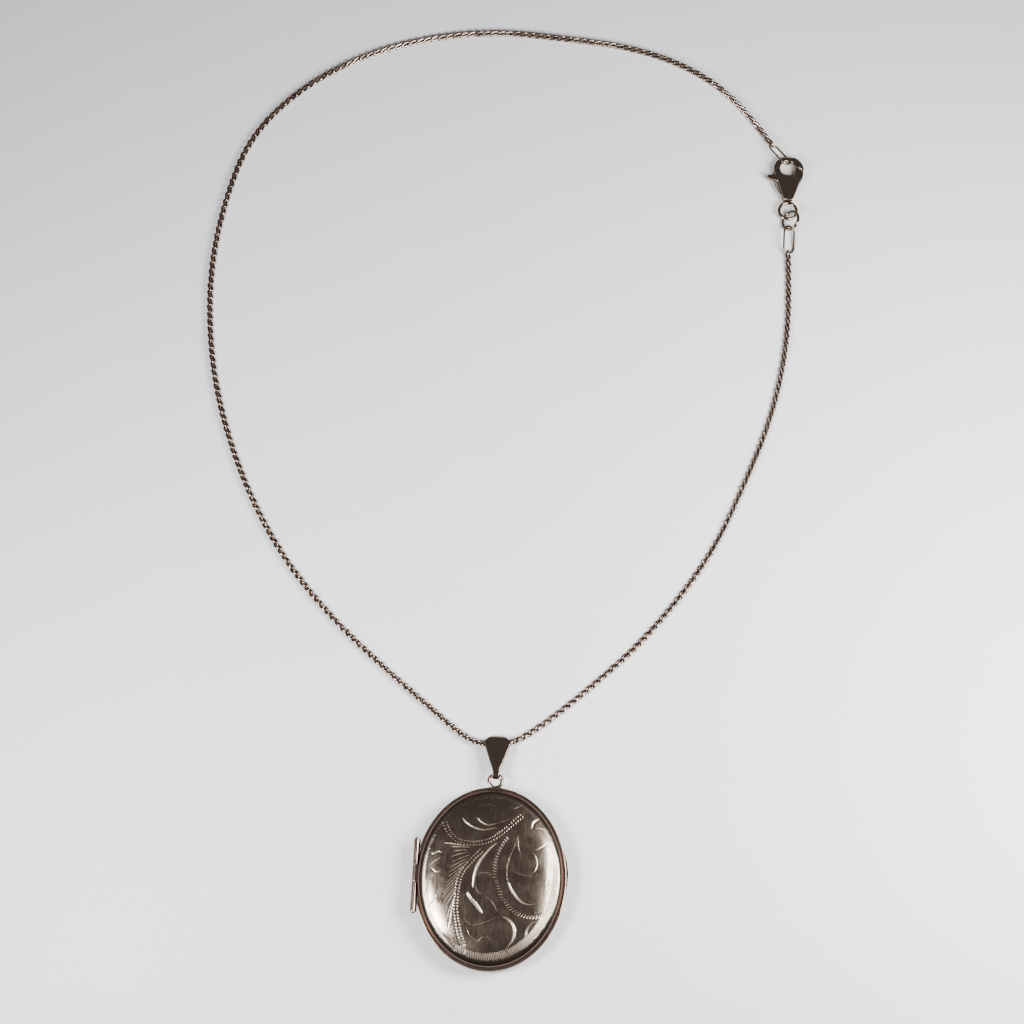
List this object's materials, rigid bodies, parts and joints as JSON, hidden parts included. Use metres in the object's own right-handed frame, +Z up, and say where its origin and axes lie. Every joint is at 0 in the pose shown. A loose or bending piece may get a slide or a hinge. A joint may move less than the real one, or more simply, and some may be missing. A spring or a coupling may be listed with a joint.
{
  "type": "locket",
  "caption": "Oval hinged locket, engraved front, on a bail and a fine slanted-link neck chain closed by a lobster claw clasp.",
  "frame": {"origin": "middle of the flat of the back cover, on the surface the locket lies on", "axes": "+Z up through the case to the engraved front, +Y from the case to its hanging loop and the chain, +X away from the hinge"},
  "size_m": [0.1272, 0.2067, 0.0064],
  "materials": {
    "engraved_gold": "hand-engraved rose gold, darkened in the cuts",
    "polished_gold": "polished rose gold, fine wear",
    "rim_gold": "polished rose gold with worn edges",
    "inner_gold": "bright rose gold, little worn",
    "chain_gold": "polished rose gold, dulled between the links",
    "clasp_gold": "polished cast rose gold",
    "spring_steel": "plain spring strip",
    "picture_card": "blank matt card",
    "clear_sheet": "clear thin plastic sheet"
  },
  "bodies": {
    "case": {"back_cover": "polished_gold", "case_rim": "rim_gold", "snap_bearer": "inner_gold", "rear_photo_card": "picture_card", "rear_glazing": "clear_sheet", "rear_photo_frame": "inner_gold", "case_knuckle_top": "rim_gold", "case_knuckle_bottom": "rim_gold", "hinge_pin": "rim_gold", "hanging_loop": "rim_gold"},
    "cover": {"front_cover": "engraved_gold", "cover_rim": "rim_gold", "front_photo_card": "picture_card", "front_glazing": "clear_sheet", "front_photo_frame": "inner_gold", "cover_knuckle": "rim_gold", "thumb_lip": "rim_gold"},
    "bail": {"bail": "polished_gold"},
    "chain": {"chain": "chain_gold", "chain_eye_a": "chain_gold", "chain_eye_b": "chain_gold"},
    "end_link_a": {"end_link_a": "clasp_gold"},
    "jump_ring": {"jump_ring": "clasp_gold"},
    "clasp": {"clasp_body": "clasp_gold", "clasp_tail_ring": "clasp_gold", "clasp_rivet": "clasp_gold", "clasp_spring": "spring_steel"},
    "clasp_lever": {"clasp_lever": "clasp_gold"},
    "end_link_b": {"end_link_b": "clasp_gold"}
  },
  "joints": [
    {"name": "cover_hinge", "type": "hinge", "parent": "case", "child": "cover", "pos_m": [-0.015, 0, 0.0032], "axis": [0, -1, 0], "range_deg": [0, 170]},
    {"name": "bail_swing", "type": "hinge", "parent": "case", "child": "bail", "pos_m": [0, 0.02107, 0.00287], "axis": [1, 0, 0], "range_deg": [0, 75]},
    {"name": "chain_swing", "type": "hinge", "parent": "bail", "child": "chain", "pos_m": [0, 0.0276, 0.00134], "axis": [1, 0, 0], "range_deg": [0, 35]},
    {"name": "end_link_a_roll", "type": "hinge", "parent": "chain", "child": "end_link_a", "pos_m": [0.0568, 0.1383, 0.00095], "axis": [0.1572, -0.9876, 0], "range_deg": [0, 20]},
    {"name": "jump_ring_roll", "type": "hinge", "parent": "end_link_a", "child": "jump_ring", "pos_m": [0.05715, 0.1436, 0.00173], "axis": [0, 1, 0], "range_deg": [-3, 2]},
    {"name": "clasp_roll", "type": "hinge", "parent": "jump_ring", "child": "clasp", "pos_m": [0.05715, 0.1476, 0.00135], "axis": [0, 1, 0], "range_deg": [-3, 1]},
    {"name": "lever_pivot", "type": "hinge", "parent": "clasp", "child": "clasp_lever", "pos_m": [0.05685, 0.1541, 0.00135], "axis": [0, 0, 1], "range_deg": [0, 25], "stiffness_Nm_per_rad": 0.00002, "springref_deg": -17.19, "deforming": ["clasp_spring"]},
    {"name": "end_link_b_roll", "type": "hinge", "parent": "chain", "child": "end_link_b", "pos_m": [0.0568, 0.1383, 0.00095], "axis": [0.1572, -0.9876, 0], "range_deg": [0, 20]}
  ],
  "couplings": [
    {"joint": "end_link_b_roll", "follows": "end_link_a_roll", "ratio": 1}
  ]
}
